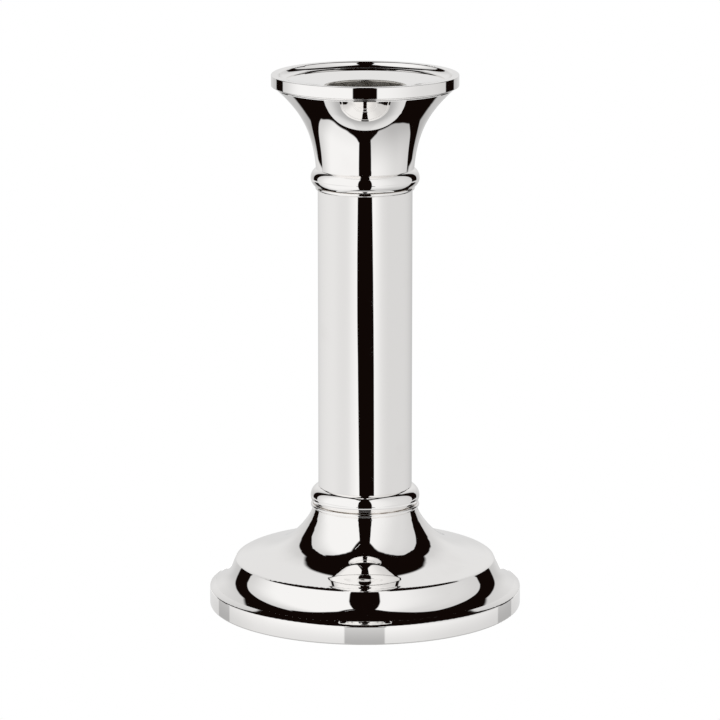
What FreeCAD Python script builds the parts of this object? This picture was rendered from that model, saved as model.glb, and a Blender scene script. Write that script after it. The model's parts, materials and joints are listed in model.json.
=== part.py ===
"""Silver-plated column candlestick with a lift-out nozzle.

Units are millimetres.  +Z is up and lies along the turned axis.  The origin is the centre of
the felt underside, where the candlestick stands on the table.
Every piece is turned, spun or drawn round that axis, except the hexagon nuts and the slit in
the spring washer.
"""
import FreeCAD, Part
import math
import os
from FreeCAD import Vector

# ---- driving dimensions -------------------------------------------------------------------
TOTAL_HEIGHT = 159.65       # table to the top of the rim
FOOT_RADIUS = 46.4          # outside of the foot band
COLUMN_RADIUS = 13.9        # outside of the column tube
RIM_RADIUS = 27.45          # outside of the rim band
CANDLE_RADIUS = 11.3        # socket bore, for a 22 mm (7/8 inch) candle
SHEET = 1.2                 # spun sheet of the base and the capital

# ---- heights of the seams, from the table up -----------------------------------------------
FOOT_CLEARANCE = 0.3        # the metal stands clear of the table on the felt
FELT_TOP = 1.3
FELT_MARGIN = 0.4           # the felt is cut this much smaller than the base plate
PLATE_TOP = 2.3
BALLAST_BOTTOM = 3.0
BALLAST_DISC_TOP = 12.0
HUB_TOP = 20.0
BASE_TOP = 30.05            # bell mouth, under the lower collar
COLUMN_BOTTOM = 36.3
COLUMN_TOP = 125.65
CAPITAL_BOTTOM = 131.9
CAPITAL_MOUTH = 155.5
NOZZLE_GAP = 0.05           # free height between the capital mouth and the resting nozzle

# ---- foot, cove and shoulder ---------------------------------------------------------------
RING_INNER_RADIUS = 43.4    # inside of the foot ring
RING_SEAM = (44.6, 6.82)    # where the spun base meets the foot ring
SEAM_SLOPE = 34.0           # degrees the surface falls outwards at that seam
RING_CREST = (46.0, 6.03)   # start of the ring's rounded outer edge
CREST_SLOPE = 41.0
RING_EDGE_BOTTOM = 5.58     # end of the rounded outer edge
RING_FOOT_ROUND = 0.4
ARRIS = (38.6, 14.0)         # crisp edge between the shoulder and the cove
SHOULDER_EDGE = (36.35, 14.75)
SHOULDER_SLOPE = 16.0       # degrees the shoulder falls outwards before it rounds over
BELL_MOUTH_RADIUS = 15.5
BELL_BORE = 9.0             # hole in the bell flange, filled by the lower collar's spigot

# ---- hollow pieces inside the base ----------------------------------------------------------
BALLAST_RADIUS = 36.5
BALLAST_CONE_RADIUS = 18.0
BALLAST_CONE_TOP = 16.5
HUB_RADIUS = 14.0
POCKET_RADIUS = 9.0         # room for a box spanner in the ballast
POCKET_TOP = 12.0
SPACER_INNER_RADIUS = 7.0
SPACER_RADIUS = 11.0

# ---- collars and column ----------------------------------------------------------------------
BEAD_ROUND = 3.1            # half height of the large bead on both collars
ASTRAGAL_ROUND = 0.55       # of the small bead under it
LOWER_BEAD_RADIUS = 16.2    # widest circles of the beads
UPPER_BEAD_RADIUS = 15.97
LOWER_ASTRAGAL_RADIUS = 16.15
UPPER_ASTRAGAL_RADIUS = 14.6
COLUMN_WALL = 1.25
SPIGOT_LENGTH = 4.6         # collar spigots reach this far into the column tube
ROD_BORE = 3.3
PLUG_BOSS_RADIUS = 9.0
PLUG_FLANGE_HEIGHT = 1.5

# ---- capital ---------------------------------------------------------------------------------
NECK_RADIUS = 14.4
MOUTH_RADIUS = 25.8
MOUTH_EDGE = 0.2            # height of the upright edge of the mouth
SLEEVE_WALL = 1.0
SLEEVE_CLEARANCE = 0.1      # radial, between the socket and its sleeve
SLEEVE_TOP = 150.0

# ---- nozzle ----------------------------------------------------------------------------------
RIM_FLAT = 1.35             # width of the flat top of the rim
RIM_EDGE_ROUND = 0.32       # its outer edge
RIM_FOOT_ROUND = 0.2
LIP_ROUND = 0.73            # its inner edge
LIP_LEAN = 22.7             # degrees the dish wall leans outwards under the lip
DISH_SHEET = 1.0
DISH_COVE = 2.2             # radius of the hollow under the lip
FLOOR_SLOPE = 8.5           # degrees the dish floor falls towards the candle
BAND_LAP = 70.0             # degrees down the back of the dish that the rim band follows
BEAD_RADIUS = 26.14         # small bead under the rim band
BEAD_TOP = 156.25
SEAT_INNER_RADIUS = 24.0    # the band sits on the capital mouth from here outwards
SOCKET_SHEET = 0.8
SOCKET_DEPTH = 20.5
SOCKET_CORNER = 2.0

# ---- M6 hardware -----------------------------------------------------------------------------
ROD_RADIUS = 3.0
ROD_BOTTOM = 3.0
ROD_TOP = 130.0
NUT_FLATS = 10.0
NUT_HEIGHT = 5.0
WASHER_RADIUS = 6.0
WASHER_BORE = 3.2
WASHER_HEIGHT = 1.6
SPRING_RADIUS = 5.6
SPRING_SLIT = 1.0
THREAD_CHAMFER = 0.6


# ---- drawing helpers: an outline is a chain of points and curves, x being the radius ---------
def point(radius, height):
    return Vector(radius, 0, height)


def direction(degrees):
    """Unit vector in the XZ plane; 0 points outwards, 90 points up."""
    angle = math.radians(degrees)
    return Vector(math.cos(angle), 0, math.sin(angle))


def spline(points, start_degrees, end_degrees):
    """Smooth curve through the points, leaving and arriving in the given directions."""
    curve = Part.BSplineCurve()
    curve.interpolate(
        Points=[point(*place) for place in points],
        InitialTangent=direction(start_degrees),
        FinalTangent=direction(end_degrees),
    )
    return curve


def arc(centre, radius, start_degrees, end_degrees):
    """Part of a circle round a centre, from one polar angle to another."""
    angles = (start_degrees, (start_degrees + end_degrees) / 2, end_degrees)
    return Part.Arc(*[centre + direction(degrees) * radius for degrees in angles])


def back_of_sheet(curve, thickness, samples=24):
    """The curve moved to its right by the sheet's thickness, running the other way."""
    places = []
    for step in range(samples + 1):
        parameter = curve.LastParameter + (curve.FirstParameter - curve.LastParameter) * step / samples
        along = curve.tangent(parameter)[0]
        places.append(curve.value(parameter) + Vector(along.z, 0, -along.x) * thickness)
    back = Part.BSplineCurve()
    back.interpolate(places)
    return back


def start_of(piece):
    return piece if isinstance(piece, Vector) else piece.value(piece.FirstParameter)


def end_of(piece):
    return piece if isinstance(piece, Vector) else piece.value(piece.LastParameter)


def turned(*outline):
    """Revolve a closed outline; straight lines join the points and the ends of the curves."""
    edges = []
    for piece, following in zip(outline, outline[1:] + outline[:1]):
        if not isinstance(piece, Vector):
            edges.append(piece.toShape())
        if end_of(piece).distanceToPoint(start_of(following)) > 1e-6:
            edges.append(Part.LineSegment(end_of(piece), start_of(following)).toShape())
    face = Part.Face(Part.Wire(edges))
    return face.revolve(Vector(0, 0, 0), Vector(0, 0, 1), 360)


def ring(inner, outer, bottom, top):
    """Plain ring or tube, with square edges."""
    return turned(point(inner, bottom), point(outer, bottom), point(outer, top), point(inner, top))


def disc(radius, bottom, top):
    return turned(point(0, bottom), point(radius, bottom), point(radius, top), point(0, top))


# ---- nozzle: dish, rim band and candle socket --------------------------------------------------
def lip_top():
    """Seam between the lip of the dish and the flat top of the rim band."""
    return point(RIM_RADIUS - RIM_EDGE_ROUND - RIM_FLAT, TOTAL_HEIGHT)


def lip_centre():
    return lip_top() - point(0, LIP_ROUND)


def dish_cove_centre():
    """The lip's curve runs straight on into the hollow, which bends the other way."""
    return lip_centre() + direction(180 - LIP_LEAN) * (LIP_ROUND + DISH_COVE)


def dish_floor(radius, depth=0.0):
    """Point on the sloping floor of the dish, or that far below its surface."""
    cove_end = dish_cove_centre() + direction(FLOOR_SLOPE - 90) * (DISH_COVE + depth)
    return point(radius, cove_end.z - (cove_end.x - radius) * math.tan(math.radians(FLOOR_SLOPE)))


def make_drip_dish():
    """Spun dish; its wall ends in a rounded lip."""
    centre = dish_cove_centre()
    hole = CANDLE_RADIUS + SOCKET_SHEET
    return turned(
        dish_floor(hole),
        arc(centre, DISH_COVE, FLOOR_SLOPE - 90, -LIP_LEAN),
        arc(lip_centre(), LIP_ROUND, 180 - LIP_LEAN, 90),
        arc(centre, DISH_COVE + DISH_SHEET, -LIP_LEAN, FLOOR_SLOPE - 90),
        dish_floor(hole, DISH_SHEET),
    )


def make_rim_band():
    """Cast band round the dish, with a small bead under it that sits on the capital."""
    seat = CAPITAL_MOUTH + NOZZLE_GAP
    bead_round = (BEAD_TOP - seat) / 2
    edge = point(RIM_RADIUS - RIM_EDGE_ROUND, TOTAL_HEIGHT - RIM_EDGE_ROUND)
    foot = point(RIM_RADIUS - RIM_FOOT_ROUND, BEAD_TOP + RIM_FOOT_ROUND)
    return turned(
        arc(dish_cove_centre(), DISH_COVE + DISH_SHEET, -BAND_LAP, -LIP_LEAN),
        lip_top(),
        arc(edge, RIM_EDGE_ROUND, 90, 0),
        arc(foot, RIM_FOOT_ROUND, 0, -90),
        arc(point(BEAD_RADIUS - bead_round, seat + bead_round), bead_round, 90, -90),
        point(SEAT_INNER_RADIUS, seat),
    )


def make_candle_socket():
    """Drawn cup with a rounded top edge and rounded bottom corner."""
    outer = CANDLE_RADIUS + SOCKET_SHEET
    lip_round = SOCKET_SHEET / 2
    top = dish_floor(outer).z
    floor = top - SOCKET_DEPTH
    corner = point(CANDLE_RADIUS - SOCKET_CORNER, floor + SOCKET_CORNER)
    return turned(
        point(0, floor),
        arc(corner, SOCKET_CORNER, -90, 0),
        arc(point(CANDLE_RADIUS + lip_round, top - lip_round), lip_round, 180, 90),
        point(outer, top),
        arc(corner, SOCKET_CORNER + SOCKET_SHEET, 0, -90),
        point(0, floor - SOCKET_SHEET),
    )


# ---- capital and column ------------------------------------------------------------------------
def make_capital_shell():
    """Spun trumpet, drawn from its mouth down to its neck and faced flat at the mouth."""
    mouth = (MOUTH_RADIUS, CAPITAL_MOUTH - MOUTH_EDGE)
    neck = (NECK_RADIUS, CAPITAL_BOTTOM)
    flare = spline([mouth, (21.0, 150.2), (17.3, 144.2), (15.2, 137.6), neck], 223, 265)
    lining = back_of_sheet(flare, SHEET)
    spun_top = end_of(lining)
    spun = turned(
        point(MOUTH_RADIUS, spun_top.z),
        flare,
        point(start_of(lining).x, CAPITAL_BOTTOM),
        lining,
    )
    return spun.cut(disc(MOUTH_RADIUS + SHEET, CAPITAL_MOUTH, spun_top.z + SHEET))


def make_nozzle_sleeve():
    """Tube that guides the socket, with a lead-in at its mouth."""
    inner = CANDLE_RADIUS + SOCKET_SHEET + SLEEVE_CLEARANCE
    outer = inner + SLEEVE_WALL
    bottom = CAPITAL_BOTTOM + PLUG_FLANGE_HEIGHT
    lead_in = SLEEVE_WALL / 2
    return turned(
        point(inner, bottom),
        point(outer, bottom),
        point(outer, SLEEVE_TOP),
        point(inner + lead_in, SLEEVE_TOP),
        point(inner, SLEEVE_TOP - lead_in),
    )


def make_capital_plug():
    """Threaded plug soldered into the neck; the tie rod screws into it from below."""
    boss_bottom = COLUMN_TOP - SPIGOT_LENGTH
    flange_top = CAPITAL_BOTTOM + PLUG_FLANGE_HEIGHT
    flange = NECK_RADIUS - SHEET
    return turned(
        point(0, ROD_TOP),
        point(ROD_RADIUS, ROD_TOP),
        point(ROD_RADIUS, boss_bottom),
        point(PLUG_BOSS_RADIUS, boss_bottom),
        point(PLUG_BOSS_RADIUS, CAPITAL_BOTTOM),
        point(flange, CAPITAL_BOTTOM),
        point(flange, flange_top),
        point(0, flange_top),
    )


def collar_side(bead_radius, astragal_radius, neck_radius, top, bottom):
    """Turned side of a collar from its top seam down: a large bead, then a small one."""
    reach = bead_radius - BEAD_ROUND
    top_angle = math.acos((neck_radius - reach) / BEAD_ROUND)
    bead = point(reach, top - BEAD_ROUND * math.sin(top_angle))
    astragal = point(astragal_radius - ASTRAGAL_ROUND, bottom + ASTRAGAL_ROUND)
    return (
        arc(bead, BEAD_ROUND, math.degrees(top_angle), -45),
        arc(astragal, ASTRAGAL_ROUND, 90, -90),
    )


def make_upper_collar():
    spigot = COLUMN_RADIUS - COLUMN_WALL
    return turned(
        *collar_side(UPPER_BEAD_RADIUS, UPPER_ASTRAGAL_RADIUS, NECK_RADIUS, CAPITAL_BOTTOM, COLUMN_TOP),
        point(spigot, COLUMN_TOP),
        point(spigot, COLUMN_TOP - SPIGOT_LENGTH),
        point(PLUG_BOSS_RADIUS, COLUMN_TOP - SPIGOT_LENGTH),
        point(PLUG_BOSS_RADIUS, CAPITAL_BOTTOM),
    )


def make_column_tube():
    return ring(COLUMN_RADIUS - COLUMN_WALL, COLUMN_RADIUS, COLUMN_BOTTOM, COLUMN_TOP)


def make_lower_collar():
    spigot = COLUMN_RADIUS - COLUMN_WALL
    return turned(
        *collar_side(LOWER_BEAD_RADIUS, LOWER_ASTRAGAL_RADIUS, COLUMN_RADIUS, COLUMN_BOTTOM, BASE_TOP),
        point(BELL_BORE, BASE_TOP),
        point(BELL_BORE, BASE_TOP - SHEET),
        point(ROD_BORE, BASE_TOP - SHEET),
        point(ROD_BORE, COLUMN_BOTTOM + SPIGOT_LENGTH),
        point(spigot, COLUMN_BOTTOM + SPIGOT_LENGTH),
        point(spigot, COLUMN_BOTTOM),
    )


# ---- base --------------------------------------------------------------------------------------
def ring_ledge():
    """Height of the foot ring's rebate, on which the edge of the spun sheet rests."""
    return RING_SEAM[1] - SHEET * math.cos(math.radians(SEAM_SLOPE))


def make_base_shell():
    """One spun sheet: bell flange, bell, shoulder, arris and cove down to the foot ring."""
    mouth = (BELL_MOUTH_RADIUS, BASE_TOP)
    bell = spline(
        [mouth, (17.3, 25.93), (20.9, 21.64), (25.5, 18.24), (31.0, 16.1), SHOULDER_EDGE],
        -82,
        -SHOULDER_SLOPE,
    )
    arris = spline([SHOULDER_EDGE, (38.08, 14.31), ARRIS], -SHOULDER_SLOPE, -39)
    cove = spline([ARRIS, (39.6, 12.07), (41.1, 9.55), (42.8, 8.01), RING_SEAM], -54, -SEAM_SLOPE)
    flange_underside = BASE_TOP - SHEET
    bell_back = back_of_sheet(bell, SHEET)
    return turned(
        bell,
        arris,
        cove,
        point(RING_SEAM[0], ring_ledge()),
        back_of_sheet(cove, SHEET),
        bell_back,
        point(end_of(bell_back).x, flange_underside),
        point(BELL_BORE, flange_underside),
        point(BELL_BORE, BASE_TOP),
    )


def make_foot_ring():
    lower_edge = point(FOOT_RADIUS - RING_FOOT_ROUND, FOOT_CLEARANCE + RING_FOOT_ROUND)
    return turned(
        point(RING_INNER_RADIUS, ring_ledge()),
        point(RING_SEAM[0], ring_ledge()),
        spline([RING_SEAM, RING_CREST], -SEAM_SLOPE, -CREST_SLOPE),
        spline([RING_CREST, (FOOT_RADIUS, RING_EDGE_BOTTOM)], -CREST_SLOPE, -90),
        arc(lower_edge, RING_FOOT_ROUND, 0, -90),
        point(RING_INNER_RADIUS, FOOT_CLEARANCE),
    )


def make_ballast_weight():
    """Iron disc with a hub; the bottom nut and its washers sit in a pocket under the hub."""
    return turned(
        point(POCKET_RADIUS, BALLAST_BOTTOM),
        point(BALLAST_RADIUS, BALLAST_BOTTOM),
        point(BALLAST_RADIUS, BALLAST_DISC_TOP),
        point(BALLAST_CONE_RADIUS, BALLAST_CONE_TOP),
        point(HUB_RADIUS, HUB_TOP),
        point(ROD_BORE, HUB_TOP),
        point(ROD_BORE, POCKET_TOP),
        point(POCKET_RADIUS, POCKET_TOP),
    )


def make_spacer_tube():
    return ring(SPACER_INNER_RADIUS, SPACER_RADIUS, HUB_TOP, BASE_TOP - SHEET)


def make_base_plate():
    return disc(RING_INNER_RADIUS, FELT_TOP, PLATE_TOP)


def make_felt_pad():
    return disc(RING_INNER_RADIUS - FELT_MARGIN, 0, FELT_TOP)


# ---- M6 tie rod, nuts and washers ----------------------------------------------------------------
def make_tie_rod():
    tip = ROD_RADIUS - THREAD_CHAMFER
    return turned(
        point(0, ROD_BOTTOM),
        point(tip, ROD_BOTTOM),
        point(ROD_RADIUS, ROD_BOTTOM + THREAD_CHAMFER),
        point(ROD_RADIUS, ROD_TOP - THREAD_CHAMFER),
        point(tip, ROD_TOP),
        point(0, ROD_TOP),
    )


def direction_flat(degrees):
    """Unit vector in the XY plane."""
    angle = math.radians(degrees)
    return Vector(math.cos(angle), math.sin(angle), 0)


def hex_nut(bottom):
    """M6 nut with its corners chamfered on both faces."""
    corner = NUT_FLATS / math.sqrt(3)
    rim = corner - NUT_FLATS / 2
    corners = [direction_flat(60 * number) * corner + Vector(0, 0, bottom) for number in range(7)]
    prism = Part.Face(Part.makePolygon(corners)).extrude(Vector(0, 0, NUT_HEIGHT))
    rounding = turned(
        point(ROD_RADIUS, bottom),
        point(corner - rim, bottom),
        point(corner, bottom + rim / 2),
        point(corner, bottom + NUT_HEIGHT - rim / 2),
        point(corner - rim, bottom + NUT_HEIGHT),
        point(ROD_RADIUS, bottom + NUT_HEIGHT),
    )
    return prism.common(rounding)


def jam_nut_top():
    return COLUMN_TOP - SPIGOT_LENGTH - WASHER_HEIGHT


def spring_washer_top():
    return POCKET_TOP - WASHER_HEIGHT


def make_hex_nuts():
    """The jam nut under the capital plug and the clamping nut in the ballast pocket."""
    clamping_top = spring_washer_top() - WASHER_HEIGHT
    nuts = [hex_nut(jam_nut_top() - NUT_HEIGHT), hex_nut(clamping_top - NUT_HEIGHT)]
    return Part.makeCompound(nuts)


def make_plain_washers():
    washers = []
    for bottom in (jam_nut_top(), spring_washer_top()):
        washers.append(ring(WASHER_BORE, WASHER_RADIUS, bottom, bottom + WASHER_HEIGHT))
    return Part.makeCompound(washers)


def make_spring_washer():
    bottom = spring_washer_top() - WASHER_HEIGHT
    coil = ring(WASHER_BORE, SPRING_RADIUS, bottom, bottom + WASHER_HEIGHT)
    corner = Vector(0, -SPRING_SLIT / 2, bottom)
    slit = Part.makeBox(SPRING_RADIUS + 1, SPRING_SLIT, WASHER_HEIGHT, corner)
    return coil.cut(slit)


PIECES = {
    "drip_dish": make_drip_dish,
    "rim_band": make_rim_band,
    "candle_socket": make_candle_socket,
    "capital_shell": make_capital_shell,
    "nozzle_sleeve": make_nozzle_sleeve,
    "capital_plug": make_capital_plug,
    "upper_collar": make_upper_collar,
    "column_tube": make_column_tube,
    "lower_collar": make_lower_collar,
    "base_shell": make_base_shell,
    "foot_ring": make_foot_ring,
    "ballast_weight": make_ballast_weight,
    "spacer_tube": make_spacer_tube,
    "base_plate": make_base_plate,
    "felt_pad": make_felt_pad,
    "tie_rod": make_tie_rod,
    "hex_nuts": make_hex_nuts,
    "plain_washers": make_plain_washers,
    "spring_washer": make_spring_washer,
}

os.makedirs("parts", exist_ok=True)
for name, make in PIECES.items():
    make().exportStep(f"parts/{name}.step")
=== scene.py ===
"""Silver-plated column candlestick: finishes, felt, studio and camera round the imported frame.

Everything is in metres in the frame's own axes.  The studio is a pair of white panels that wrap
round the candlestick, with a dark gap between them in front and dark posts behind.  It exists
only as light seen by reflection, and it turns with the camera, as if the candlestick stood on a
turntable and the camera and the panels stayed still.
"""

import json
import math
import random

import bmesh
import bpy
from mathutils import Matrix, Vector, noise as vector_noise


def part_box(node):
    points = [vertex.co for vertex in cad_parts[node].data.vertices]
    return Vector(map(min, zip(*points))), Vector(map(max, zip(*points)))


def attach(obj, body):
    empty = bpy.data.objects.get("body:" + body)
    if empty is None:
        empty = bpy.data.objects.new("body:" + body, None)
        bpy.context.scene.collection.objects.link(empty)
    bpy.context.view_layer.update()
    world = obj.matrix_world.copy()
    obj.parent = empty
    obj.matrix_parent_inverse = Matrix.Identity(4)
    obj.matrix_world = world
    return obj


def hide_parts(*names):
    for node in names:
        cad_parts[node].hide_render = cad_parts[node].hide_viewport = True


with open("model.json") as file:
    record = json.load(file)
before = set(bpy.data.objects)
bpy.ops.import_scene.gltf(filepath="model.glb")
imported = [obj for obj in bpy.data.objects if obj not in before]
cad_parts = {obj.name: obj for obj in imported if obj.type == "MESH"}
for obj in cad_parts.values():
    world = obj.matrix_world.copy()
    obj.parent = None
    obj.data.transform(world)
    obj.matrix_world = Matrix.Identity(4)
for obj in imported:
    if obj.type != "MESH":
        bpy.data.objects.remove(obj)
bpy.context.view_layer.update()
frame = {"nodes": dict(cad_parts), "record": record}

MILLIMETRE = 0.001
FOOT_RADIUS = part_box("foot_ring")[1].x

# Between these heights, in degrees, lies everything that the upright column reflects.
WAIST_BOTTOM = -15.4
WAIST_TOP = -9.4


# ---- small language for node trees ------------------------------------------------------------
class Signal:
    """A number that runs through a node tree; arithmetic on it adds Math nodes."""

    def __init__(self, tree, socket):
        self.tree = tree
        self.socket = socket

    def math(self, operation, *others):
        made = self.tree.nodes.new("ShaderNodeMath")
        made.operation = operation
        for slot, value in zip(made.inputs, (self, *others)):
            plug(self.tree, slot, value)
        return Signal(self.tree, made.outputs[0])

    def __add__(self, other):
        return self.math("ADD", other)

    def __sub__(self, other):
        return self.math("SUBTRACT", other)

    def __mul__(self, other):
        return self.math("MULTIPLY", other)

    def ramp(self, start, end, low=0.0, high=1.0):
        """Goes smoothly from low to high while the number goes from start to end."""
        made = self.tree.nodes.new("ShaderNodeMapRange")
        made.interpolation_type = "SMOOTHSTEP"
        inputs = {"Value": self, "From Min": start, "From Max": end, "To Min": low, "To Max": high}
        for slot, value in inputs.items():
            plug(self.tree, made.inputs[slot], value)
        return Signal(self.tree, made.outputs[0])

    def above(self, edge, softness):
        """1 above the edge and 0 below it, with a soft step."""
        return (self - edge).ramp(-softness, softness)

    def below(self, edge, softness):
        return (self - edge).ramp(-softness, softness, 1.0, 0.0)

    def between(self, low, high, softness):
        return self.above(low, softness) * self.below(high, softness)

    def mixed(self, other, share):
        """This number where share is 0, the other one where it is 1."""
        made = self.tree.nodes.new("ShaderNodeMix")
        for slot, value in zip(("Factor", "A", "B"), (share, self, other)):
            plug(self.tree, made.inputs[slot], value)
        return Signal(self.tree, made.outputs[0])

    def through(self, *places):
        """Height of a smooth curve through the places (x, height), x being this number."""
        start, end = places[0][0], places[-1][0]
        low = min(height for x, height in places)
        high = max(height for x, height in places)
        made = self.tree.nodes.new("ShaderNodeFloatCurve")
        made.mapping.extend = "HORIZONTAL"
        curve = made.mapping.curves[0].points
        while len(curve) < len(places):
            curve.new(0.5, 0.5)
        for curve_point, (x, height) in zip(curve, places):
            curve_point.location = ((x - start) / (end - start), (height - low) / (high - low))
            curve_point.handle_type = "AUTO_CLAMPED"
        made.mapping.update()
        plug(self.tree, made.inputs["Value"], (self - start) * (1 / (end - start)))
        return Signal(self.tree, made.outputs[0]) * (high - low) + low


def plug(tree, slot, value):
    """Links a signal or a socket to a node's input, or sets the input to a plain value."""
    if isinstance(value, Signal):
        value = value.socket
    if isinstance(value, bpy.types.NodeSocket):
        tree.links.new(value, slot)
    else:
        slot.default_value = value


def node(tree, kind, inputs=(), **settings):
    """A new node with its settings and inputs in place."""
    made = tree.nodes.new(kind)
    for name, value in settings.items():
        setattr(made, name, value)
    for name, value in dict(inputs).items():
        plug(tree, made.inputs[name], value)
    return made


def mixed_shaders(tree, share, first, second):
    """The first shader where share is 0, the second where it is 1."""
    return node(tree, "ShaderNodeMixShader", {0: share, 1: first, 2: second}).outputs[0]


# ---- studio light ------------------------------------------------------------------------------
# Angles are in degrees.  Side is the azimuth away from the camera, the same to its left and right.
# A place on a curve is (side, height), (height, side) or (side, brightness).
def studio_axes(tree):
    """Azimuth and height of the ray; azimuth 0 is towards the camera, and + is to its right."""
    ray = node(tree, "ShaderNodeTexCoord").outputs["Generated"]
    right = node(
        tree,
        "ShaderNodeVectorTransform",
        {"Vector": (1.0, 0.0, 0.0)},
        vector_type="VECTOR",
        convert_from="CAMERA",
        convert_to="WORLD",
    ).outputs[0]
    ahead = node(
        tree, "ShaderNodeVectorMath", {0: (0.0, 0.0, 1.0), 1: right}, operation="CROSS_PRODUCT"
    ).outputs["Vector"]
    across = node(tree, "ShaderNodeVectorMath", {0: ray, 1: right}, operation="DOT_PRODUCT")
    along = node(tree, "ShaderNodeVectorMath", {0: ray, 1: ahead}, operation="DOT_PRODUCT")
    rise = node(tree, "ShaderNodeSeparateXYZ", {"Vector": ray})
    across = Signal(tree, across.outputs["Value"])
    back = Signal(tree, along.outputs["Value"]) * -1.0
    azimuth = across.math("ARCTAN2", back).math("DEGREES")
    height = Signal(tree, rise.outputs["Z"]).math("ARCSINE").math("DEGREES")
    return azimuth, height


def panels(side, height, is_left):
    """Brightness of the two white panels, and how much of the view they cover."""
    upright_softness = 0.7
    level_softness = 1.2
    gap = is_left * 0.8 + 14.3
    end = is_left * 4.0 + 116.5
    inner_top = ((15, 65.8), (25, 69.2), (38, 72.2), (55, 73.6))
    outer_top = ((74, 73.2), (92, 71.2), (106, 67.6), (118, 60.0))
    left_cut = side.ramp(20.0, 58.0, 3.5, 0.0)
    top = side.through(*inner_top, *outer_top) - is_left * left_cut
    left_bottom = ((16, -48), (26, -54), (42, -58), (60, -60.4), (90, -60.4), (120, -50))
    right_bottom = ((14, -51), (30, -58), (46, -62.5), (80, -62), (100, -56), (116, -46))
    bottom = side.through(*right_bottom).mixed(side.through(*left_bottom), is_left)
    cover = side.between(gap, end, upright_softness) * height.between(bottom, top, level_softness)
    left_tone = side.ramp(84.0, 124.0, 0.945, 0.66) * height.ramp(-58.0, -36.0, 0.92, 1.0)
    right_tone = side.ramp(20.0, 84.0, 0.925, 0.725) * side.ramp(84.0, 118.0, 1.0, 0.9)
    right_tone = right_tone * height.ramp(-60.0, -16.0, 0.66, 1.0)
    return right_tone.mixed(left_tone, is_left), cover


def waist(side, height, is_left):
    """Brightness of the panels a little below level.

    There they run on behind, and their front edges are cut back.
    """
    left_gap = height.through((-14.6, 14.0), (-12.6, 17.7), (-11.5, 19.2), (-9.8, 17.4))
    right_gap = height.through((-14.6, 22.2), (-12.6, 21.4), (-11.5, 19.9), (-9.8, 16.2))
    cover = side.above(right_gap.mixed(left_gap, is_left), 0.6)
    left = ((18, 0.96), (32, 0.87), (55, 0.77), (90, 0.81), (120, 0.785), (170, 0.66))
    right = ((22, 0.96), (30, 0.88), (50, 0.735), (64, 0.708), (100, 0.708), (160, 0.57))
    return side.through(*right).mixed(side.through(*left), is_left) * cover


def sweep(side, height):
    """Brightness and cover of the grey sweep behind the candlestick."""
    cover = side.above(139.5, 1.0) * height.between(-34.0, 45.4, 1.5)
    tone = side.ramp(139.0, 165.0, 0.56, 0.71) * height.ramp(-24.0, -6.0, 0.78, 1.0)
    return tone + height.ramp(0.0, 14.0, 0.0, 0.08), cover


def hairline(side, height, is_left):
    """Thin bright line just over the top of the left panel, next to the gap."""
    half_width = 0.22
    line_height = side.through((15, 67.0), (25, 70.2), (40, 73.6))
    across_line = (height - line_height).between(-half_width, half_width, 0.12)
    return across_line * side.between(15.5, 36.0, 1.5) * is_left


def studio_brightness(tree):
    """Brightness along the ray: hairline, panels, sweep and waist, each laid over the last."""
    azimuth, height = studio_axes(tree)
    side = azimuth.math("ABSOLUTE")
    is_left = azimuth.below(0.0, 0.01)
    brightness = hairline(side, height, is_left) * 0.9
    brightness = brightness.mixed(*panels(side, height, is_left))
    brightness = brightness.mixed(*sweep(side, height))
    at_waist = height.above(WAIST_BOTTOM, 0.6) * height.below(WAIST_TOP, 0.2)
    return brightness.mixed(waist(side, height, is_left), at_waist)


def make_studio():
    """A reflection finds the studio over a warm near-black, and the camera sees plain white."""
    world = bpy.data.worlds.new("studio")
    world.use_nodes = True
    tree = world.node_tree
    tree.nodes.clear()
    seen = node(tree, "ShaderNodeLightPath").outputs["Is Camera Ray"]
    brightness = studio_brightness(tree).mixed(1.0, Signal(tree, seen))
    near_black = (0.005, 0.0025, 0.0018)
    white = (1.0, 1.0, 1.0)
    colour = colours(tree, near_black, white, brightness)
    light = node(tree, "ShaderNodeBackground", {"Color": colour})
    node(tree, "ShaderNodeOutputWorld", {"Surface": light.outputs[0]})
    bpy.context.scene.world = world


def glossy_paper(tree, radius):
    """White paper that glows, dimmer close to the foot as painted shade, with a shine that grows at
    grazing angles.
    """
    at_foot = 0.44
    in_the_open = 0.72
    # Painted shade: the paper's glow drops close to the foot, where the candlestick keeps the
    # studio light off it.
    painted_shade = radius.ramp(FOOT_RADIUS, FOOT_RADIUS + 30 * MILLIMETRE, at_foot, in_the_open)
    paper = node(tree, "ShaderNodeEmission", {"Color": painted_shade})
    shine = node(tree, "ShaderNodeBsdfGlossy", {"Roughness": 0.05})
    black = node(tree, "ShaderNodeBsdfTransparent", {"Color": (0.0, 0.0, 0.0, 1.0)})
    fresnel = Signal(tree, node(tree, "ShaderNodeFresnel", {"IOR": 1.5}).outputs[0])
    share = (fresnel * 2.0).math("MINIMUM", 1.0)
    gloss = mixed_shaders(tree, share, black.outputs[0], shine.outputs[0])
    return node(tree, "ShaderNodeAddShader", {0: paper.outputs[0], 1: gloss}).outputs[0]


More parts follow.
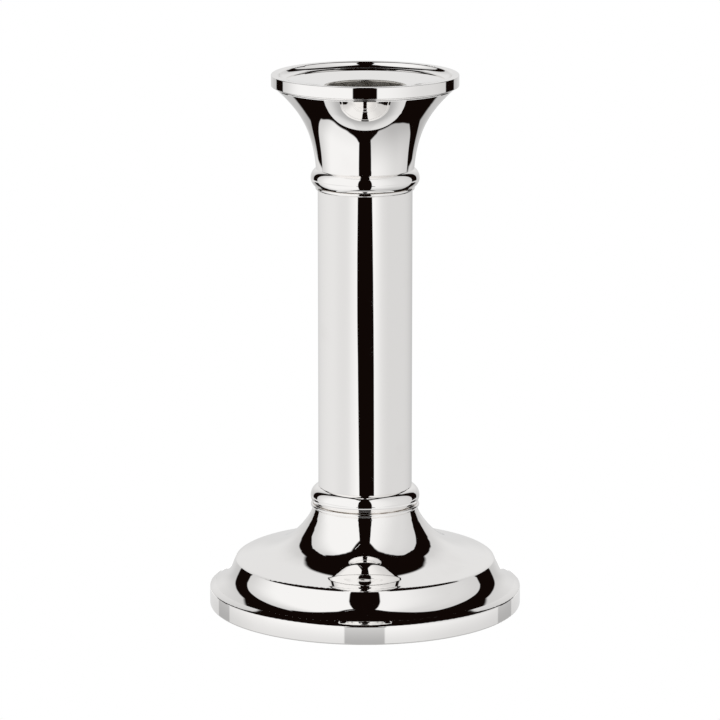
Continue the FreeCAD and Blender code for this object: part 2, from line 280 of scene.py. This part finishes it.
def make_sheet_finish():
    """Finish of the sheet under the candlestick.

    A reflection finds the paper, and past the paper's edge the studio.  The camera sees plain
    white from above, and looks through the sheet from below.
    """
    sheet_radius = 84 * MILLIMETRE
    material = bpy.data.materials.new("white_sheet")
    material.use_nodes = True
    tree = material.node_tree
    tree.nodes.clear()
    place = node(tree, "ShaderNodeNewGeometry")
    radius = distance_from_axis(tree, place.outputs["Position"])
    open_air = node(tree, "ShaderNodeBsdfTransparent").outputs[0]
    white = node(tree, "ShaderNodeEmission", {"Color": (1.0, 1.0, 1.0, 1.0)}).outputs[0]
    past_edge = radius.above(sheet_radius, 0.4 * MILLIMETRE)
    reflected = mixed_shaders(tree, past_edge, glossy_paper(tree, radius), open_air)
    plain = mixed_shaders(tree, place.outputs["Backfacing"], white, open_air)
    seen = node(tree, "ShaderNodeLightPath").outputs["Is Camera Ray"]
    shown = mixed_shaders(tree, seen, reflected, plain)
    node(tree, "ShaderNodeOutputMaterial", {"Surface": shown})
    return material


def make_floor():
    """Level white sheet that the candlestick stands on."""
    half = 1.5
    corners = [(-half, -half, 0), (half, -half, 0), (half, half, 0), (-half, half, 0)]
    mesh = bpy.data.meshes.new("floor")
    mesh.from_pydata(corners, [], [(0, 1, 2, 3)])
    mesh.materials.append(make_sheet_finish())
    floor = bpy.data.objects.new("floor", mesh)
    bpy.context.scene.collection.objects.link(floor)


def make_camera():
    """Stands in front of the candlestick, a little above its top, with a long lens."""
    distance = 1131 * MILLIMETRE
    stand_height = 324.95 * MILLIMETRE
    sideways = -1.5 * MILLIMETRE
    tilt = math.radians(12.496)
    data = bpy.data.cameras.new("camera")
    data.lens = 195.74
    data.sensor_width = 36
    camera = bpy.data.objects.new("camera", data)
    camera.location = (sideways, -distance, stand_height)
    camera.rotation_euler = (math.pi / 2 - tilt, 0.0, 0.0)
    bpy.context.scene.collection.objects.link(camera)
    bpy.context.scene.camera = camera


# ---- parts that the finishes are made from -----------------------------------------------------
def distance_from_axis(tree, place):
    """Distance in metres from the candlestick's own axis."""
    flat = node(tree, "ShaderNodeVectorMath", {0: place, 1: (1.0, 1.0, 0.0)}, operation="MULTIPLY")
    length = node(tree, "ShaderNodeVectorMath", {0: flat.outputs[0]}, operation="LENGTH")
    return Signal(tree, length.outputs["Value"])


def own_place(tree):
    """Place on the piece in metres, shifted at random, so that no two pieces are marked alike."""
    place = node(tree, "ShaderNodeTexCoord").outputs["Object"]
    seed = node(tree, "ShaderNodeObjectInfo").outputs["Random"]
    inputs = {0: (3.1, 1.7, 2.3), "Scale": seed}
    shift = node(tree, "ShaderNodeVectorMath", inputs, operation="SCALE")
    return node(tree, "ShaderNodeVectorMath", {0: place, 1: shift.outputs[0]}).outputs[0]


def cloud(tree, place, grain, detail=2.0, **inputs):
    """Soft noise from 0 to 1 whose patches are about one grain wide, in metres."""
    settings = {"Vector": place, "Scale": 1 / grain, "Detail": detail, **inputs}
    return Signal(tree, node(tree, "ShaderNodeTexNoise", settings).outputs[0])


def stretched(tree, place, share):
    """Place with its y squeezed to a share, so that noise drawn on it runs long in y."""
    inputs = {0: place, 1: (1.0, share, 1.0)}
    return node(tree, "ShaderNodeVectorMath", inputs, operation="MULTIPLY").outputs[0]


def turning_lines(tree, spacing, length):
    """Fine broken lines round the axis, as a lathe or a buff leaves them.

    They are spacing apart, and about one length long where the piece has its usual radius.
    """
    usual_radius = 20 * MILLIMETRE
    place = node(tree, "ShaderNodeTexCoord").outputs["Object"]
    parts = node(tree, "ShaderNodeSeparateXYZ", {"Vector": place})
    x, y, z = (Signal(tree, parts.outputs[axis]) for axis in "XYZ")
    radius = distance_from_axis(tree, place)
    along = y.math("ARCTAN2", x) * (usual_radius / length)
    seed = Signal(tree, node(tree, "ShaderNodeObjectInfo").outputs["Random"])
    inputs = {"X": radius * (1 / spacing) + seed * 90.0, "Y": z * (1 / spacing), "Z": along}
    lined = node(tree, "ShaderNodeCombineXYZ", inputs)
    noise = node(tree, "ShaderNodeTexNoise", {"Vector": lined.outputs[0], "Scale": 1.0})
    return Signal(tree, noise.outputs[0])


def crevice(tree, reach):
    """1 in the corners between pieces and mouldings, 0 on open surface."""
    occlusion = node(tree, "ShaderNodeAmbientOcclusion", {"Distance": reach}, samples=8)
    return Signal(tree, occlusion.outputs["AO"]).ramp(0.35, 0.85, 1.0, 0.0)


def colours(tree, first, second, share):
    """Colour that goes from the first to the second with the share."""
    made = node(tree, "ShaderNodeMix", {"Factor": share}, data_type="RGBA")
    for name, colour in (("A_Color", first), ("B_Color", second)):
        slot = next(slot for slot in made.inputs if slot.identifier == name)
        plug(tree, slot, colour if isinstance(colour, bpy.types.NodeSocket) else (*colour, 1.0))
    return next(slot for slot in made.outputs if slot.identifier == "Result_Color")


def relief(tree, height, depth, below=None):
    """Bumps this many metres deep, laid over the bumps that another relief gives."""
    inputs = {"Height": height, "Distance": depth}
    if below is not None:
        inputs["Normal"] = below
    return node(tree, "ShaderNodeBump", inputs).outputs[0]


def finish(name, metallic, colour, roughness):
    """A new material with plain values, and its tree and shader for the details."""
    material = bpy.data.materials.new(name)
    material.use_nodes = True
    tree = material.node_tree
    shader = tree.nodes["Principled BSDF"].inputs
    plug(tree, shader["Metallic"], metallic)
    plug(tree, shader["Base Color"], (*colour, 1.0))
    plug(tree, shader["Roughness"], roughness)
    return material, tree, shader


# ---- finishes ------------------------------------------------------------------------------------
def make_silver():
    """Buffed silver plate: a mirror with faint smears, hairlines and a warm film in its corners."""
    clean = (0.970, 0.956, 0.942)
    material, tree, shader = finish("silver_plate", 1.0, clean, 0.02)
    place = own_place(tree)
    patchy = cloud(tree, place, 3 * MILLIMETRE).ramp(0.3, 0.7, 0.2, 0.7)
    film = crevice(tree, 0.5 * MILLIMETRE) * patchy
    bloom = cloud(tree, place, 14 * MILLIMETRE, 4.0).ramp(0.55, 0.8, 0.0, 0.05)
    plug(tree, shader["Base Color"], colours(tree, clean, (0.38, 0.33, 0.28), film + bloom))
    smears = cloud(tree, place, 9 * MILLIMETRE, 5.0, Distortion=1.2).ramp(0.45, 0.75, 0.012, 0.045)
    plug(tree, shader["Roughness"], smears + film * 0.15)
    buffed = turning_lines(tree, 0.12 * MILLIMETRE, 12 * MILLIMETRE)
    hairlines = relief(tree, buffed, 0.00003 * MILLIMETRE)
    spun = relief(tree, cloud(tree, place, 9 * MILLIMETRE), 0.003 * MILLIMETRE, hairlines)
    plug(tree, shader["Normal"], spun)
    return material


def make_socket_silver():
    """Silver inside the candle socket: never buffed, its colour darkened all over as painted shade
    for the deep socket, and darker still in blotches.
    """
    # Painted shade: silver much darker than the buffed plate, standing in for the shade inside the
    # socket.
    painted_shade_plate = (0.62, 0.60, 0.56)
    material, tree, shader = finish("socket_silver", 1.0, painted_shade_plate, 0.32)
    place = own_place(tree)
    # Blotches where the colour goes darker still.
    darker_blotches = cloud(tree, place, 4 * MILLIMETRE, 5.0).ramp(0.35, 0.7, 0.0, 0.5)
    plug(tree, shader["Base Color"], colours(tree, painted_shade_plate, (0.34, 0.31, 0.27), darker_blotches))
    worn = cloud(tree, place, 2 * MILLIMETRE, 4.0).ramp(0.3, 0.7, 0.24, 0.42)
    plug(tree, shader["Roughness"], worn)
    drawn = turning_lines(tree, 0.3 * MILLIMETRE, 25 * MILLIMETRE)
    plug(tree, shader["Normal"], relief(tree, drawn, 0.004 * MILLIMETRE))
    return material


def make_brass():
    """Turned brass with tool marks, gone slightly brown."""
    bright = (0.80, 0.58, 0.27)
    material, tree, shader = finish("turned_brass", 1.0, bright, 0.24)
    place = own_place(tree)
    browned = cloud(tree, place, 6 * MILLIMETRE, 4.0).ramp(0.4, 0.75, 0.0, 0.5)
    lines = turning_lines(tree, 0.25 * MILLIMETRE, 60 * MILLIMETRE)
    plug(tree, shader["Base Color"], colours(tree, bright, (0.42, 0.26, 0.11), browned))
    plug(tree, shader["Roughness"], lines.ramp(0.3, 0.7, 0.18, 0.34) + browned * 0.15)
    plug(tree, shader["Normal"], relief(tree, lines, 0.006 * MILLIMETRE))
    return material


def make_zinc_steel():
    """Bright zinc plating: cool grey with faint cloudy spangle."""
    zinc = (0.66, 0.69, 0.72)
    material, tree, shader = finish("zinc_steel", 1.0, zinc, 0.33)
    place = own_place(tree)
    spangle = cloud(tree, place, 1.2 * MILLIMETRE, 3.0, Distortion=0.6)
    clouded = spangle.ramp(0.4, 0.7)
    plug(tree, shader["Base Color"], colours(tree, zinc, (0.58, 0.57, 0.52), clouded))
    plug(tree, shader["Roughness"], spangle.ramp(0.3, 0.7, 0.26, 0.42))
    crystals = cloud(tree, place, 0.3 * MILLIMETRE)
    plug(tree, shader["Normal"], relief(tree, crystals, 0.008 * MILLIMETRE))
    return material


def make_threaded_steel():
    """Zinc-plated studding: the zinc finish with an M6 thread."""
    pitch = 1 * MILLIMETRE
    material = make_zinc_steel()
    material.name = "threaded_steel"
    tree = material.node_tree
    place = node(tree, "ShaderNodeTexCoord").outputs["Object"]
    parts = node(tree, "ShaderNodeSeparateXYZ", {"Vector": place})
    x, y, z = (Signal(tree, parts.outputs[axis]) for axis in "XYZ")
    turn = z * (1 / pitch) + y.math("ARCTAN2", x) * (-0.5 / math.pi)
    flank = turn.math("PINGPONG", 0.5).ramp(0.06, 0.44)
    shader = tree.nodes["Principled BSDF"].inputs
    plug(tree, shader["Normal"], relief(tree, flank, 0.45 * MILLIMETRE))
    return material


def make_sheet_steel():
    """Cold-rolled sheet with its rolling grain and a few rust specks."""
    steel = (0.46, 0.47, 0.48)
    material, tree, shader = finish("sheet_steel", 1.0, steel, 0.4)
    place = own_place(tree)
    grain = cloud(tree, stretched(tree, place, 0.04), 0.35 * MILLIMETRE, 3.0)
    specks = cloud(tree, place, 0.8 * MILLIMETRE, 3.0).above(0.7, 0.03)
    plug(tree, shader["Base Color"], colours(tree, steel, (0.20, 0.09, 0.04), specks * 0.7))
    plug(tree, shader["Metallic"], specks * -0.8 + 1.0)
    plug(tree, shader["Roughness"], grain.ramp(0.3, 0.7, 0.32, 0.5) + specks * 0.3)
    plug(tree, shader["Normal"], relief(tree, grain, 0.006 * MILLIMETRE))
    return material


def make_cast_iron():
    """Grey iron as cast: dark scale over a sandy skin."""
    iron = (0.075, 0.072, 0.070)
    material, tree, shader = finish("cast_iron", 0.7, iron, 0.62)
    place = own_place(tree)
    sand = cloud(tree, place, 0.7 * MILLIMETRE, 6.0)
    scale = cloud(tree, place, 6 * MILLIMETRE, 4.0).ramp(0.45, 0.7)
    plug(tree, shader["Base Color"], colours(tree, iron, (0.12, 0.075, 0.05), scale))
    plug(tree, shader["Roughness"], sand.ramp(0.3, 0.7, 0.5, 0.78))
    plug(tree, shader["Normal"], relief(tree, sand, 0.25 * MILLIMETRE))
    return material


def matted_fibres(tree, place):
    """Noise of short wandering fibres that lie in three directions over one another."""
    wander = node(tree, "ShaderNodeTexNoise", {"Vector": place, "Scale": 700.0, "Detail": 1.0})
    inputs = {0: wander.outputs["Color"], "Scale": 0.004}
    push = node(tree, "ShaderNodeVectorMath", inputs, operation="SCALE")
    strayed = node(tree, "ShaderNodeVectorMath", {0: place, 1: push.outputs[0]})
    strands = []
    for turn in (0.3, 1.4, 2.5):
        inputs = {"Vector": strayed.outputs[0], "Angle": turn}
        turned = node(tree, "ShaderNodeVectorRotate", inputs, rotation_type="Z_AXIS")
        drawn_out = stretched(tree, turned.outputs[0], 0.12)
        strands.append(cloud(tree, drawn_out, 0.14 * MILLIMETRE, 2.0))
    return strands[0].math("MAXIMUM", strands[1]).math("MAXIMUM", strands[2])


def make_felt():
    """Pressed wool: matted fibres of a few greens, with a soft light bloom at grazing angles."""
    wool = (0.016, 0.062, 0.036)
    material, tree, shader = finish("green_felt", 0.0, wool, 0.95)
    place = own_place(tree)
    mat = matted_fibres(tree, place)
    patches = cloud(tree, place, 5 * MILLIMETRE, 3.0).ramp(0.35, 0.7, 0.0, 0.35)
    light = mat.ramp(0.5, 0.78, 0.0, 0.65) + patches
    plug(tree, shader["Base Color"], colours(tree, wool, (0.075, 0.20, 0.115), light))
    plug(tree, shader["Sheen Weight"], 0.5)
    plug(tree, shader["Sheen Roughness"], 0.6)
    plug(tree, shader["Sheen Tint"], (0.45, 0.65, 0.5, 1.0))
    plug(tree, shader["Normal"], relief(tree, mat, 0.16 * MILLIMETRE))
    return material


# ---- felt pad ------------------------------------------------------------------------------------
def felt_outline(low, high, radius):
    """Half section from near the middle of the top, round the edge and back along the underside.

    Each place is (radius, height).
    """
    top_rings = 14
    underside_rings = 40
    edge_places = 9
    middle = (low + high) / 2
    half = (high - low) / 2
    edge = 0.84 * half      # how far in the rounding of the edge starts
    outline = [(radius * step / top_rings, high) for step in range(1, top_rings)]
    for step in range(edge_places):
        angle = math.pi / 2 - math.pi * step / (edge_places - 1)
        outline.append((radius - edge + edge * math.cos(angle), middle + half * math.sin(angle)))
    for step in range(underside_rings - 1, 0, -1):
        outline.append((radius * step / underside_rings, low))
    return outline


def felt_place(reach, height, angle, low, high, radius):
    """Place on the pad, its underside lifted unevenly and its edge a little ragged."""
    flat = Vector((math.cos(angle), math.sin(angle), 0)) * reach
    wave = vector_noise.noise(flat / (4 * MILLIMETRE) + Vector((0, 0, height / MILLIMETRE)))
    lift = 0.09 * MILLIMETRE * (1 + wave) if height < (low + high) / 2 else 0.0
    ragged = 1 - 0.002 * (1 + wave) if reach > 0.9 * radius else 1.0
    return flat * ragged + Vector((0, 0, height + lift))


def join_rings(mesh, rings, turned_over=False):
    """Faces from each ring of corners to the next, turned over if the rings run backwards."""
    around = len(rings[0])
    for ring, following in zip(rings, rings[1:]):
        for number in range(around):
            after = (number + 1) % around
            corners = [ring[number], following[number], following[after], ring[after]]
            if turned_over:
                corners[1:] = reversed(corners[1:])
            mesh.faces.new(corners)


def add_pad(mesh, low, high, radius):
    """Closed surface of the pad: rings along its outline, and a flat face at each end."""
    around = 180
    angles = [2 * math.pi * number / around for number in range(around)]
    rings = []
    for reach, height in felt_outline(low, high, radius):
        places = [felt_place(reach, height, angle, low, high, radius) for angle in angles]
        rings.append([mesh.verts.new(place) for place in places])
    join_rings(mesh, rings)
    mesh.faces.new(rings[0])
    mesh.faces.new(reversed(rings[-1]))


def add_fibre(mesh, place, heading, curl, length):
    """One strand: a thin three-sided tube that curls as it goes and sags in the middle."""
    steps = 4
    thickness = 0.02 * MILLIMETRE
    sag = 0.08 * MILLIMETRE
    rings = []
    for step in range(steps + 1):
        bend = heading + curl * step
        ahead = Vector((math.cos(bend), math.sin(bend), 0))
        across = Vector((-ahead.y, ahead.x, 0)) * thickness
        hang = Vector((0, 0, -sag * math.sin(math.pi * step / steps)))
        corners = (across, -across, Vector((0, 0, -thickness)))
        rings.append([mesh.verts.new(place + hang + corner) for corner in corners])
        place = place + ahead * (length / steps)
    join_rings(mesh, rings, turned_over=True)


def add_fibres(mesh, radius, bottom):
    """Short loose fibres, half sunk in the underside of the pad."""
    count = 1400
    margin = 1.2 * MILLIMETRE
    height = bottom + 0.12 * MILLIMETRE
    chance = random.Random(5)
    for _ in range(count):
        reach = (radius - margin) * math.sqrt(chance.random())
        angle = chance.uniform(0, 2 * math.pi)
        place = Vector((math.cos(angle) * reach, math.sin(angle) * reach, height))
        heading = chance.uniform(0, 2 * math.pi)
        curl = chance.uniform(-0.7, 0.7)
        length = chance.uniform(1.0, 2.4) * MILLIMETRE
        add_fibre(mesh, place, heading, curl, length)


def make_felt_pad():
    """Pad of pressed felt with a soft cut edge and loose fibres, in place of the plain CAD pad."""
    low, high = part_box("felt_pad")
    mesh = bmesh.new()
    add_pad(mesh, low.z, high.z, high.x)
    add_fibres(mesh, high.x, low.z)
    for face in mesh.faces:
        face.smooth = True
    data = bpy.data.meshes.new("felt")
    mesh.to_mesh(data)
    mesh.free()
    data.materials.append(make_felt())
    felt = bpy.data.objects.new("felt", data)
    bpy.context.scene.collection.objects.link(felt)
    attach(felt, "stand")
    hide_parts("felt_pad")


# ---- the candlestick -----------------------------------------------------------------------------
def paint_frame():
    """Gives every CAD node the finish of its slot in the record."""
    finishes = {
        "silver_plate": make_silver(),
        "turned_brass": make_brass(),
        "zinc_steel": make_zinc_steel(),
        "sheet_steel": make_sheet_steel(),
        "cast_iron": make_cast_iron(),
    }
    own_finishes = {"candle_socket": make_socket_silver(), "tie_rod": make_threaded_steel()}
    for subpart in frame["record"]["subparts"]:
        name = subpart["node"]
        if name == "felt_pad":
            continue
        materials = frame["nodes"][name].data.materials
        materials.clear()
        materials.append(own_finishes.get(name) or finishes[subpart["material_slot"]])


paint_frame()
make_felt_pad()
make_studio()
make_floor()
make_camera()
bpy.context.scene.view_settings.view_transform = "Standard"
